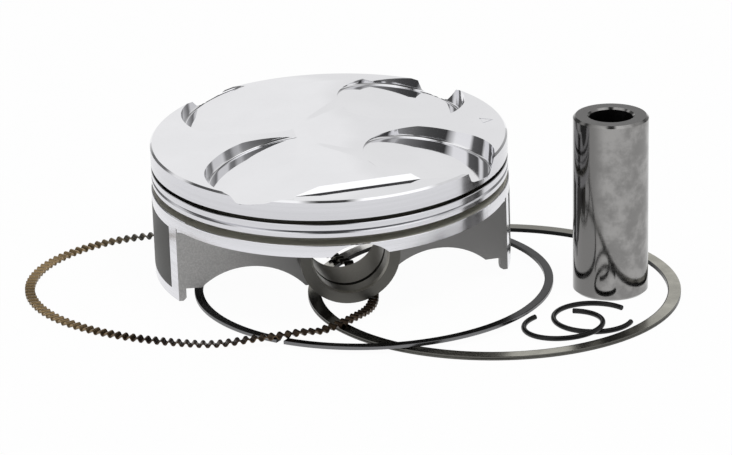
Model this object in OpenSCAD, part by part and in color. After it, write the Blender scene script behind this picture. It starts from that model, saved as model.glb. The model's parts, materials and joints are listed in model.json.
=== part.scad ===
// Four-stroke piston kit laid out on a surface: piston, ring pack, wrist pin and two circlips.
// Millimetres. The origin is the centre of the piston's pin bore, +Z is up from the surface.
// Every piece is modelled upright at its own origin and then put in its place in the layout.

/* [Cylinder] */
// Bore of the cylinder that the piston runs in
cylinder_bore = 77; // [74:0.5:80]
// Clearance of the skirt in the cylinder, on the diameter
skirt_clearance = 0.1; // [0.04:0.01:0.2]
// Clearance of the ring lands in the cylinder, on the diameter
land_clearance = 0.4; // [0.2:0.05:0.8]

/* [Piston heights] */
// Compression height, from the pin axis to the edge of the crown
compression_h = 18.35; // [17.5:0.05:20]
// Height of the land above the top groove
top_land_h = 4.4; // [3.5:0.1:5]
// Height of the land between the grooves
second_land_h = 3; // [2.5:0.1:3.5]
// Height of the land under the oil groove
third_land_h = 2.6; // [2:0.1:3]
// Height of the top ring groove
top_groove_h = 0.85; // [0.8:0.05:1.2]
// Height of the oil ring groove
oil_groove_h = 1.7; // [1.6:0.05:2]
// Radial depth of the ring grooves
groove_depth = 3.1; // [3:0.1:3.6]
// Drop from the pin axis to the foot of the skirts
skirt_drop = 10.6; // [9.5:0.1:11]

/* [Crown] */
// Height of the combustion dome over the crown's edge
dome_h = 1.1; // [0.6:0.1:1.6]
// Half width of the flat top of the dome
dome_half_w = 19; // [16:0.5:21]
// Distance from the cylinder axis to the dome's end face on the intake side
dome_end_in = 33.2; // [31:0.1:33.6]
// Distance from the cylinder axis to the dome's end face on the exhaust side
dome_end_ex = 29.6; // [28:0.1:31]
// Break on the edge of the crown
crown_chamfer = 0.4; // [0.2:0.05:0.6]
// Thickness of the crown under the deepest valve pocket
crown_wall = 3.6; // [3:0.1:4.4]

/* [Valve pockets] */
// Lean of the valves from the cylinder axis
valve_lean = 11; // [9:0.5:13]
// Radius of the intake pockets
intake_r = 16.65; // [15:0.05:17]
// Radius of the exhaust pockets
exhaust_r = 14; // [13:0.1:14.6]
// Corner radius at the foot of the pocket walls
pocket_fillet = 1.2; // [0.6:0.1:2]
// Centre of an intake pocket from the cylinder axis, across and along the pin
intake_at = [12.3, 18.2];
// Centre of an exhaust pocket from the cylinder axis, across and along the pin
exhaust_at = [18.2, 16.6];
// Where the pocket floors run out into the dome, from the cylinder axis
floor_run_out = 7.2; // [6:0.2:9]

/* [Skirts and bosses] */
// Thickness of the skirts
skirt_wall = 2.1; // [1.8:0.1:2.6]
// Thickness of the side panels
panel_wall = 2.2; // [1.8:0.1:2.6]
// Half width of a skirt at its panels
skirt_half_w = 14.5; // [13:0.1:15.5]
// Outward slope of the side panels towards the bosses, in degrees
panel_slope = 5; // [3:0.5:6]
// Radius of the arch under each side panel
arch_r = 15.3; // [14:0.1:16]
// Centre of the arches from the cylinder axis
arch_at = 20.2; // [19:0.1:21]
// Height of the arches' crowns under the pin axis
arch_drop = 3.6; // [2.5:0.1:4.5]
// Width of the foot at each corner of a skirt
foot_w = 1.6; // [1.2:0.1:2.4]
// Height of the feet under the side panels
foot_h = 2.8; // [2:0.1:3.5]
// Outer radius of the pin bosses
boss_r = 10.7; // [10.4:0.1:11]
// Half distance over the outer faces of the bosses
boss_outer = 24.4; // [23:0.1:25]
// Half distance between the inner faces of the bosses
boss_inner = 10.5; // [10:0.1:13]

/* [Wrist pin and circlips] */
// Outer diameter of the wrist pin
pin_d = 16; // [15:0.5:17]
// Length of the wrist pin
pin_len = 39; // [37:0.5:40]
// Bore of the wrist pin
pin_bore_d = 9.2; // [8:0.2:11]
// Clearance of the pin in its bosses, on the diameter
pin_clearance = 0.02; // [0.01:0.005:0.04]
// Wire of the circlips
clip_wire = 1.1; // [1:0.05:1.3]
// Free outer diameter of the circlips
clip_free_d = 17.6; // [17.2:0.1:18.4]
// Opening of the circlips, in degrees
clip_gap = 60; // [45:5:75]

/* [Rings] */
// Axial play of a ring in its groove
ring_play = 0.08; // [0.04:0.01:0.1]
// Radial width of the compression ring
ring_width = 1.85; // [1.7:0.05:2.8]
// Free outer diameter of the compression ring
ring_free_d = 76.7; // [76:0.1:79]
// Height of each oil rail
rail_h = 0.4; // [0.35:0.05:0.5]
// Radial width of the oil rails
rail_width = 2.75; // [2.2:0.05:3]
// Free outer diameter of the oil rails
rail_free_d = 79.4; // [78.5:0.1:81]
// Free gap of the rings, across the ends
ring_gap = 1.8; // [0.4:0.1:3]
// Height of the crimped oil expander
expander_h = 1; // [1:0.05:1.6]
// Radial width of the expander
expander_width = 2.1; // [1.8:0.1:2.4]
// Thickness of the expander's strip
expander_strip = 0.25; // [0.2:0.05:0.4]
// Number of crimps round the expander
expander_waves = 124; // [80:1:140]

/* [Layout] */
// Turn of the piston about the cylinder axis
piston_turn = 9.5; // [0:0.5:20]
// Lean of the piston, forwards and to the left, where it stands on the rings
piston_lean = [2.1, -1];
// Centre of the oil rails
rails_at = [34.5, -17];
// Centre of the compression ring
ring_at = [8.9, -13.7];
// Centre of the expander
expander_at = [-28, -13.7];
// Mean radius of the free expander
expander_r = 34.7; // [34:0.1:36]
// How far the free expander is out of round, and where: two lobes and three lobes
expander_lobes = [[2, 3.2, -28.6], [3, 0.7, -35.5]];
// Where the wrist pin stands
pin_at = [59.3, -16.1];
// Centre of the circlip that lies flat
rear_clip_at = [54.6, -34.6];
// Centre of the circlip that leans on the other one
front_clip_at = [48.2, -40];

/* [Hidden] */
$fn = 96;
eps = 0.01;
far = 200;

// Gap left between pieces that lie on one another
lie_gap = 0.05;
// Distance over which the expander comes up to a ring that it lies on
expander_run = 9;
// Radii of the piston
skirt_r = (cylinder_bore - skirt_clearance) / 2;
skirt_lip = 0.3;
land_r = (cylinder_bore - land_clearance) / 2;
groove_r = land_r - groove_depth;
belt_inner_r = groove_r - 2.4;

// Heights over the pin axis
top_groove_z = compression_h - top_land_h - top_groove_h;
oil_groove_z = top_groove_z - second_land_h - oil_groove_h;
belt_z = oil_groove_z - third_land_h;
dome_z = compression_h + dome_h;

// Depth of a pocket's floor under the crown at a distance from the cylinder axis
function floor_z(x) = dome_z - (x - floor_run_out) * tan(valve_lean);
deepest_x = max(intake_at.x + intake_r, exhaust_at.x + exhaust_r);
cavity_z = floor_z(deepest_x) - crown_wall;

// Pin bore and circlip seats
bore_r = (pin_d + pin_clearance) / 2;
seat_play = 0.2;
seat_z = pin_len / 2 + seat_play;
seat_w = clip_wire + 0.1;
seat_r = bore_r + clip_wire / 2 + 0.1;

// Coating that is printed on the skirts
coating_t = 0.04;
coating_margin = 5;
coating_top = belt_z - 0.4;
coating_bottom = 2.1 - skirt_drop;

// One of the two points where the circles c1, r1 and c2, r2 cross
function crossing(c1, r1, c2, r2, side) =
    let (d = norm(c2 - c1), e = (c2 - c1) / d, a = (r1 * r1 - r2 * r2 + d * d) / (2 * d))
    c1 + a * e + side * sqrt(r1 * r1 - a * a) * [-e.y, e.x];

// The compression ring touches the surface on its left and lies on the rails on its right
rail_r = rail_free_d / 2;
rail_stack = 2 * rail_h + lie_gap;
ring_r = ring_free_d / 2;
ring_h = top_groove_h - ring_play;
ring_rise = -9.7;
ring_up = [cos(ring_rise), sin(ring_rise)];
function along_ring(p) = ring_r + (p - ring_at) * ring_up;
ring_seat = min([for (r = [ring_r, ring_r - ring_width], side = [-1, 1])
    along_ring(crossing(ring_at, r, rails_at, rail_r, side))]);
ring_tilt = atan((rail_stack + lie_gap) / ring_seat);
function ring_top(p) = lie_gap + ring_h + along_ring(p) * tan(ring_tilt) + 0.01;

// The piston stands on whichever of its low points comes down first: a skirt's foot on the surface
// or on the ring, or the edge of a boss
function turned(p) = [p.x * cos(piston_turn) - p.y * sin(piston_turn),
                      p.x * sin(piston_turn) + p.y * cos(piston_turn), p.z];
function leaned_z(p) = let (q = turned(p))
    (q.y * sin(piston_lean.x) + q.z * cos(piston_lean.x)) * cos(piston_lean.y) - q.x * sin(piston_lean.y);
function foot_z(a) = leaned_z([skirt_r * cos(a), skirt_r * sin(a), -skirt_drop]);
skirt_on_ring = crossing([0, 0], skirt_r - skirt_wall / 2, ring_at, ring_r, 1);
skirt_on_ring_a = atan2(skirt_on_ring.y, skirt_on_ring.x) - piston_turn;
pin_axis_h = lie_gap + max(
    -foot_z(180 + skirt_angle()), -leaned_z([0, -boss_outer, -boss_r]),
    ring_top(skirt_on_ring) - foot_z(skirt_on_ring_a));
surface_z = -pin_axis_h;

// The front circlip leans on the rear one
clip_r = (clip_free_d - clip_wire) / 2;
clip_tilt = asin((clip_wire + 2 * lie_gap) / (2 * clip_r));

// ---- Piston ------------------------------------------------------------------------------------

// A sector of a tube about Z, centred on the direction given
module sector(r_out, r_in, z0, z1, centre, half_angle) {
    rotate([0, 0, centre - half_angle])
        rotate_extrude(angle = 2 * half_angle, $fn = 180)
            translate([r_in, z0]) square([r_out - r_in, z1 - z0]);
}

// Ring belt and crown, turned in one profile with its grooves
module ring_belt() {
    v_mid = top_groove_z - second_land_h / 2 - 0.15;
    v_half = 0.35;
    rotate_extrude($fn = 180)
        polygon([
            [0, belt_z], [land_r, belt_z],
            [land_r, oil_groove_z], [groove_r, oil_groove_z],
            [groove_r, oil_groove_z + oil_groove_h], [land_r, oil_groove_z + oil_groove_h],
            [land_r, v_mid - v_half], [land_r - v_half, v_mid], [land_r, v_mid + v_half],
            [land_r, top_groove_z], [groove_r, top_groove_z],
            [groove_r, top_groove_z + top_groove_h], [land_r, top_groove_z + top_groove_h],
            [land_r, compression_h - crown_chamfer], [land_r - crown_chamfer, compression_h],
            [0, compression_h]
        ]);
}

// Outline of the combustion dome seen from above, with its ends drawn in to the exhaust side
module dome_plan(grow) {
    x_in = land_r;
    x_ex = land_r;
    slope = (dome_end_in - dome_end_ex) / 30;
    y_in = dome_end_in + slope * (x_in - 11) + grow;
    y_ex = dome_end_ex - slope * (x_ex - 19) + grow;
    polygon([[-x_in, -y_in], [x_ex, -y_ex], [x_ex, y_ex], [-x_in, y_in]]);
}

// The dome: flat on top, roof slopes to the sides and 45 degree faces at both ends
module dome() {
    side_run = 8;
    intersection() {
        rotate([90, 0, 0])
            linear_extrude(2 * land_r, center = true)
                polygon([
                    [-dome_half_w - side_run, compression_h - 1], [dome_half_w + side_run, compression_h - 1],
                    [dome_half_w + side_run, compression_h], [dome_half_w, dome_z],
                    [-dome_half_w, dome_z], [-dome_half_w - side_run, compression_h]
                ]);
        union() {
            translate([0, 0, compression_h - 1]) linear_extrude(1 + dome_h) dome_plan(-dome_h);
            dome_end(1);
            dome_end(-1);
        }
        cylinder(h = far, r = land_r - crown_chamfer, $fn = 180);
    }
}

// The 45 degree face along one end of the dome
module dome_end(side) {
    turn = atan((dome_end_in - dome_end_ex) / 30);
    mirror([0, side > 0 ? 0 : 1, 0])
        translate([-11, dome_end_in, compression_h])
            rotate([0, 0, -turn])
                rotate([90, 0, 90])
                    linear_extrude(2 * land_r, center = true)
                        polygon([[0, 0], [-dome_h, dome_h], [-dome_h - 2, dome_h], [-dome_h - 2, -1], [0, -1]]);
}

// One valve pocket: a cutter with a flat floor and a rounded corner, leaning with its valve
module pocket(at, r, side) {
    floor_at = floor_z(at.x);
    translate([side * at.x, at.y, floor_at])
        rotate([0, side * valve_lean, 0])
            rotate_extrude($fn = 144)
                polygon([
                    [0, 0],
                    for (a = [0:15:90])
                        [r - pocket_fillet * (1 - sin(a)), pocket_fillet * (1 - cos(a))],
                    [r, 20], [0, 20]
                ]);
}

module pockets() {
    for (y = [-1, 1]) {
        pocket([intake_at.x, y * intake_at.y], intake_r, -1);
        pocket([exhaust_at.x, y * exhaust_at.y], exhaust_r, 1);
    }
}

// Arrow on the crown that points to the exhaust side
module arrow_mark() {
    outer = 1.9;
    depth = 0.12;
    translate([34.2, 0, compression_h - depth])
        linear_extrude(1)
            difference() {
                circle(outer, $fn = 3);
                circle(outer - 0.5, $fn = 3);
            }
}

// Angle of a skirt's edge from its middle
function skirt_angle() = asin(skirt_half_w / skirt_r);

// Outline that the side panels give the piston under its belt, drawn in by an amount
module panel_outline(inset) {
    skirt_x = skirt_r * cos(skirt_angle());
    half = skirt_half_w - inset;
    polygon([
        for (p = [[1, 1], [0, 1], [-1, 1], [-1, -1], [0, -1], [1, -1]])
            [p.x * far, p.y * (half + (skirt_x - abs(p.x) * far) * tan(panel_slope))]
    ]);
}

// Skirts and side panels: a thin wall between the two outlines, cut up between its four corners
module skirts() {
    top = belt_z + skirt_lip;
    foot_x = skirt_r * cos(skirt_angle()) - foot_w;
    web_top = 1.9 - boss_r;
    difference() {
        translate([0, 0, -skirt_drop]) linear_extrude(skirt_drop + top) intersection() {
            circle(skirt_r, $fn = 180);
            panel_outline(0);
        }
        translate([0, 0, -far]) linear_extrude(far + belt_z + 1) intersection() {
            circle(skirt_r - skirt_wall, $fn = 180);
            panel_outline(panel_wall);
        }
        for (side = [-1, 1]) {
            translate([side * arch_at, 0, -arch_drop - arch_r])
                rotate([90, 0, 0])
                    cylinder(h = far, r = arch_r, center = true);
            translate([side * (arch_at + foot_x) / 2, 0, foot_h - skirt_drop - far / 2])
                cube([foot_x - arch_at, far, far], center = true);
        }
        translate([0, 0, web_top - far / 2])
            cube([2 * arch_at + 1, far, far], center = true);
    }
}

// A pin boss with the pylon that carries it
module boss() {
    translate([0, boss_inner, 0])
        rotate([-90, 0, 0])
            cylinder(h = boss_outer - boss_inner, r = boss_r);
    translate([-boss_r, boss_inner, 0])
        cube([2 * boss_r, boss_outer - boss_inner, belt_z + 1]);
}

// Hollow under the crown, between the panels and the skirts
module cavity() {
    inner_half_w = skirt_half_w - panel_wall;
    difference() {
        intersection() {
            translate([0, 0, -far + cavity_z])
                cylinder(h = far, r = belt_inner_r, $fn = 144);
            translate([-belt_inner_r, -inner_half_w, belt_z - 1])
                cube([2 * belt_inner_r, 2 * inner_half_w, cavity_z]);
        }
        for (y = [-1, 1])
            scale([1, y, 1])
                translate([-boss_r, boss_inner, 0])
                    cube([2 * boss_r, 10, far]);
    }
}

// Oil drain holes through the back of the oil groove, behind the skirts
module drain_holes() {
    for (side = [0, 180], a = [-24, -8, 8, 24])
        rotate([0, 0, side + a])
            translate([belt_inner_r - 4, 0, oil_groove_z + oil_groove_h / 2])
                rotate([0, 90, 0])
                    cylinder(h = 10, d = 1.4, $fn = 24);
}

// Drain slots cut down through the third land beside the exhaust skirt
module drain_slots() {
    for (a = [-44, 44])
        rotate([0, 0, a])
            translate([land_r + 0.4, 0, belt_z - 1])
                scale([1, 1.7, 1])
                    cylinder(h = third_land_h + 1.2, r = 1.9, $fn = 48);
}

// Pin bore with its circlip seats and the notches for taking the circlips out
module pin_bore() {
    mouth = 0.4;
    rotate([90, 0, 0]) cylinder(h = far, r = bore_r, center = true, $fn = 144);
    for (y = [-1, 1])
        scale([1, y, 1]) {
            translate([0, seat_z, 0])
                rotate([-90, 0, 0])
                    cylinder(h = seat_w, r = seat_r, $fn = 144);
            translate([0, boss_outer - mouth, 0])
                rotate([-90, 0, 0]) {
                    cylinder(h = mouth, r1 = bore_r, r2 = bore_r + mouth, $fn = 144);
                    translate([0, 0, mouth]) cylinder(h = far, r = bore_r + mouth, $fn = 144);
                }
            rotate([0, 10, 0])
                translate([-1.2, seat_z, 0])
                    cube([2.4, boss_outer + 0.3 - seat_z, seat_r]);
        }
}

// The whole piston, upright, with the pin along Y and the exhaust side at +X
module piston_body() {
    difference() {
        union() {
            ring_belt();
            dome();
            skirts();
            for (y = [-1, 1]) scale([1, y, 1]) boss();
        }
        pockets();
        cavity();
        pin_bore();
        drain_holes();
        drain_slots();
        arrow_mark();
    }
}

// A coating patch on one skirt
module coating_patch(side) {
    half = skirt_angle() - coating_margin;
    sector(skirt_r + coating_t, skirt_r, coating_bottom, coating_top, side, half);
}

// ---- Rings -------------------------------------------------------------------------------------

// A flat ring with a gap across its ends, its bottom at Z 0
module split_ring(d, width, h, gap, bevel) {
    r = d / 2;
    half_gap = asin(gap / 2 / r);
    rotate([0, 0, half_gap])
        rotate_extrude(angle = 360 - 2 * half_gap, $fn = 180)
            polygon([
                [r - width, 0], [r - bevel, 0], [r, bevel], [r, h - bevel],
                [r - bevel, h], [r - width, h]
            ]);
}

// A direction at which the crimps are evenly spaced round the free expander
function even_turn(a) = a - sum([for (lobe = expander_lobes)
    lobe[1] / lobe[0] / expander_r * sin(lobe[0] * (a - lobe[2]))]) * 180 / PI;
function sum(v, i = 0) = i < len(v) ? v[i] + sum(v, i + 1) : 0;

// A point of the free expander in the layout, out from the middle of its strip by an amount
function expander_xy(a, out = 0) =
    let (r = expander_r + out + sum([for (lobe = expander_lobes) lobe[1] * cos(lobe[0] * (a - lobe[2]))]))
    expander_at + r * [cos(a), sin(a)];

// Height of the expander's foot over the surface, which eases up to each ring and down again
function ease(t) = t <= 0 ? 0 : t >= 1 ? 1 : 0.5 - 0.5 * cos(180 * t);
function rise_over(p, at, r, width, h) =
    h * ease(1 - (abs(norm(p - at) - r + width / 2) - width / 2 - 0.7 * expander_width) / expander_run);
function expander_lift(p) = lie_gap + max(
    rise_over(p, rails_at, rail_r, rail_width, rail_stack),
    rise_over(p, ring_at, ring_r, ring_width, ring_top(p) + lie_gap));

// One point of the expander's strip: s in crimps, out from the middle of the strip, z over its foot
function expander_point(s, out, z) =
    let (a = even_turn(360 * s / expander_waves), p = expander_xy(a), q = expander_xy(a, out))
    [q.x, q.y, expander_lift(p) + z];

// The crimped expander: a strip that goes up and down, closed round the ring
module expander() {
    wide = 0.2;
    narrow = 0.09;
    top = [[-wide, 1], [wide, 1], [0.5 - narrow, 0], [0.5 + narrow, 0]];
    low = [[-narrow, 1], [narrow, 1], [0.5 - wide, 0], [0.5 + wide, 0]];
    rise = expander_h - expander_strip;
    half = expander_width / 2;
    stations = [for (i = [0:expander_waves - 1], k = [0:3]) [i, k]];
    points = [
        for (s = stations)
            let (t = top[s[1]], b = low[s[1]])
            each [
                expander_point(s[0] + b[0], half, rise * b[1]),
                expander_point(s[0] + t[0], half, rise * t[1] + expander_strip),
                expander_point(s[0] + t[0], -half, rise * t[1] + expander_strip),
                expander_point(s[0] + b[0], -half, rise * b[1])
            ]
    ];
    n = len(stations);
    faces = [
        for (i = [0:n - 1], k = [0:3])
            let (a = 4 * i, b = 4 * ((i + 1) % n), m = (k + 1) % 4)
            each [[a + k, b + k, b + m], [a + k, b + m, a + m]]
    ];
    polyhedron(points, faces);
}

// ---- Wrist pin and circlips --------------------------------------------------------------------

// Hollow wrist pin standing on its end
module pin() {
    r = pin_d / 2;
    bore = pin_bore_d / 2;
    edge = 0.5;
    mouth = 0.4;
    rotate_extrude($fn = 144)
        polygon([
            [bore + mouth, 0], [r - edge, 0], [r, edge], [r, pin_len - edge], [r - edge, pin_len],
            [bore + mouth, pin_len], [bore, pin_len - mouth], [bore, mouth]
        ]);
}

// Round wire circlip with its lowest point at Z 0, open to +X
module circlip() {
    rotate([0, 0, clip_gap / 2])
        rotate_extrude(angle = 360 - clip_gap, $fn = 144)
            translate([clip_r, clip_wire / 2]) circle(d = clip_wire, $fn = 32);
}

// ---- Places in the layout ----------------------------------------------------------------------

module place_piston() {
    rotate([piston_lean.x, piston_lean.y, 0]) rotate([0, 0, piston_turn]) children();
}

// Puts a piece down on the surface with its centre at a point
module place(at, lift = 0) {
    translate([at.x, at.y, surface_z + lift]) children();
}

// Tilts a round piece up about the point of its rim that stays down, away from the rise
module tilt_on_rim(r, tilt, rise) {
    rotate([0, 0, rise])
        translate([-r, 0, 0])
            rotate([0, -tilt, 0])
                translate([r, 0, 0])
                    rotate([0, 0, -rise])
                        children();
}

// ---- Nodes -------------------------------------------------------------------------------------

module piston() {
    color([0.80, 0.80, 0.81]) place_piston() piston_body();
}

module skirt_coating_left() {
    color([0.27, 0.27, 0.25]) place_piston() coating_patch(180);
}

module skirt_coating_right() {
    color([0.27, 0.27, 0.25]) place_piston() coating_patch(0);
}

module compression_ring() {
    color([0.16, 0.16, 0.17])
        place(ring_at, lie_gap)
            tilt_on_rim(ring_r, ring_tilt, ring_rise)
                rotate([0, 0, -120.9])
                    split_ring(ring_free_d, ring_width, ring_h, ring_gap, 0.08);
}

module oil_expander() {
    color([0.50, 0.42, 0.31]) place([0, 0]) expander();
}

module oil_rail_upper() {
    color([0.66, 0.65, 0.60])
        place(rails_at, rail_h + lie_gap)
            rotate([0, 0, 120])
                split_ring(rail_free_d, rail_width, rail_h, ring_gap, 0.05);
}

module oil_rail_lower() {
    color([0.62, 0.61, 0.57])
        place(rails_at)
            rotate([0, 0, 160])
                split_ring(rail_free_d, rail_width, rail_h, ring_gap, 0.05);
}

module wrist_pin() {
    color([0.45, 0.44, 0.44]) place(pin_at) pin();
}

module circlip_rear() {
    color([0.10, 0.10, 0.10]) place(rear_clip_at) rotate([0, 0, 10]) circlip();
}

module circlip_front() {
    color([0.10, 0.10, 0.10])
        place(front_clip_at)
            tilt_on_rim(clip_r, clip_tilt, -19)
                rotate([0, 0, 103])
                    circlip();
}

piston();
skirt_coating_left();
skirt_coating_right();
compression_ring();
oil_expander();
oil_rail_upper();
oil_rail_lower();
wrist_pin();
circlip_rear();
circlip_front();
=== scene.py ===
"""A four-stroke piston kit laid out on a pale surface, dressed on its fixed CAD frame."""

import json
import logging
import math
from dataclasses import dataclass
from enum import Enum
from typing import Callable, Iterable, Sequence

import bmesh
import bpy
from mathutils import Euler, Matrix, Vector

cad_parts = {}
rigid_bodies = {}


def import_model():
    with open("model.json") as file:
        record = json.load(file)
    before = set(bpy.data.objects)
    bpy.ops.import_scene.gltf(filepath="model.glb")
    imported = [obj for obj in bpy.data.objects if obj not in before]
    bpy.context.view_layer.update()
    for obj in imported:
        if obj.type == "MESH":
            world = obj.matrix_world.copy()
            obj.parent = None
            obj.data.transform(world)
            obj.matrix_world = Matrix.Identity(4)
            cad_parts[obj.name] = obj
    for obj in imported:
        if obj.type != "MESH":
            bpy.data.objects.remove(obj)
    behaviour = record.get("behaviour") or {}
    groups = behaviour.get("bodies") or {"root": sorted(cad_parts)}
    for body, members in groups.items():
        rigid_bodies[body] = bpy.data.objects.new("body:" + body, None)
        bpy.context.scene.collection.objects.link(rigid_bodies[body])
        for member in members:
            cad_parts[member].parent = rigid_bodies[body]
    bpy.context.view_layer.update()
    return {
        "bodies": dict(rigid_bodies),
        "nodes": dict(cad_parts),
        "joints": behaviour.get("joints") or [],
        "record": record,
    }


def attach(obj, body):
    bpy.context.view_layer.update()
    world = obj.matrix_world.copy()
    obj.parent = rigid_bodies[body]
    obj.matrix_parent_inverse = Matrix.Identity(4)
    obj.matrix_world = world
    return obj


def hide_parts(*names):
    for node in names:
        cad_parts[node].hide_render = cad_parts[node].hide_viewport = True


LOG = logging.getLogger("piston_kit")
MM = 0.001

Socket = bpy.types.NodeSocket
Material = bpy.types.Material
Piece = bpy.types.Object
Face = bpy.types.MeshPolygon
Edge = bmesh.types.BMEdge
Colour = tuple[float, float, float]
Band = tuple[float, float]


def shaded(colour: Colour, share: float) -> Colour:
    """Return a colour with its three parts multiplied by a share."""
    return tuple(part * share for part in colour)


# ---- Shader building ---------------------------------------------------------------------------


class Nodes:
    """A node tree, with short calls for the nodes that the finishes and the light use."""

    def __init__(self, tree: bpy.types.NodeTree) -> None:
        """Take a tree.

        Args:
            tree: The node tree that nodes are added to.
        """
        self.tree = tree

    def node(self, kind: str, **settings: object) -> bpy.types.Node:
        """Add a node.

        Args:
            kind: The node's type, without its ShaderNode prefix.
            **settings: Attributes of the node.

        Returns:
            The new node.
        """
        made = self.tree.nodes.new("ShaderNode" + kind)
        for key, value in settings.items():
            setattr(made, key, value)
        return made

    def feed(self, node: bpy.types.Node, socket: str | int, value: object) -> None:
        """Link an output to a node's input, or set the input to a constant.

        Args:
            node: The node that takes the value.
            socket: The input's name or number.
            value: An output socket, a number or a sequence of numbers.
        """
        target = node.inputs[socket]
        if isinstance(value, Socket):
            self.tree.links.new(value, target)
        else:
            target.default_value = value

    def math(self, operation: str, *values: object, clamp: bool = False) -> Socket:
        """Compute one number from others.

        Args:
            operation: The Math node's operation.
            *values: Outputs or numbers.
            clamp: Whether the result stays between 0 and 1.

        Returns:
            The output with the result.
        """
        made = self.node("Math", operation=operation, use_clamp=clamp)
        for i, value in enumerate(values):
            self.feed(made, i, value)
        return made.outputs[0]

    def smooth(
        self, value: Socket, low: float, high: float, to_low: float = 0.0, to_high: float = 1.0
    ) -> Socket:
        """Ease a number from one level to another.

        Args:
            value: The number that is read.
            low: Where the rise starts.
            high: Where it ends.
            to_low: The result below the rise.
            to_high: The result above it.

        Returns:
            The output with the eased number.
        """
        made = self.node("MapRange", interpolation_type="SMOOTHSTEP")
        for i, item in enumerate((value, low, high, to_low, to_high)):
            self.feed(made, i, item)
        return made.outputs[0]

    def split(self, vector: Socket) -> list[Socket]:
        """Take a vector apart.

        Args:
            vector: The vector.

        Returns:
            The outputs with its x, y and z.
        """
        made = self.node("SeparateXYZ")
        self.feed(made, 0, vector)
        return list(made.outputs)

    def noise(self, vector: Socket, scale: float, detail: float = 2.0, roughness: float = 0.5) -> Socket:
        """Read cloudy noise.

        Args:
            vector: Where it is read.
            scale: Features in a unit of the vector.
            detail: How many finer layers there are.
            roughness: How strong each finer layer is.

        Returns:
            The output with the noise, between 0 and 1.
        """
        made = self.node("TexNoise")
        self.feed(made, "Vector", vector)
        self.feed(made, "Scale", scale)
        self.feed(made, "Detail", detail)
        self.feed(made, "Roughness", roughness)
        return made.outputs["Fac"]

    def blend(self, factor: object, first: Socket, second: Socket) -> Socket:
        """Mix two shaders.

        Args:
            factor: How much of the second there is.
            first: The shader at 0.
            second: The shader at 1.

        Returns:
            The output with the mixed shader.
        """
        made = self.node("MixShader")
        for i, value in enumerate((factor, first, second)):
            self.feed(made, i, value)
        return made.outputs[0]

    def ramp(self, turn: Socket, levels: Sequence[tuple[float, float]]) -> Socket:
        """Read a level from a list of levels round the scene.

        Args:
            turn: The direction, from 0 to 1 for -180 to 180 degrees.
            levels: Degrees and levels, in order.

        Returns:
            The output with the level.
        """
        made = self.node("ValToRGB")
        self.feed(made, 0, turn)
        stops = made.color_ramp.elements
        for i, (degrees, level) in enumerate(levels):
            place = degrees / 360 + 0.5
            stop = stops[i] if i < 2 else stops.new(place)
            stop.position = place
            stop.color = (level, level, level, 1.0)
        return made.outputs[0]

    def light(self, kind: str, level: object) -> Socket:
        """Make a white light shader.

        Args:
            kind: Emission or Background.
            level: Its strength.

        Returns:
            The output with the shader.
        """
        made = self.node(kind)
        self.feed(made, "Color", (1.0, 1.0, 1.0, 1.0))
        self.feed(made, "Strength", level)
        return made.outputs[0]


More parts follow.
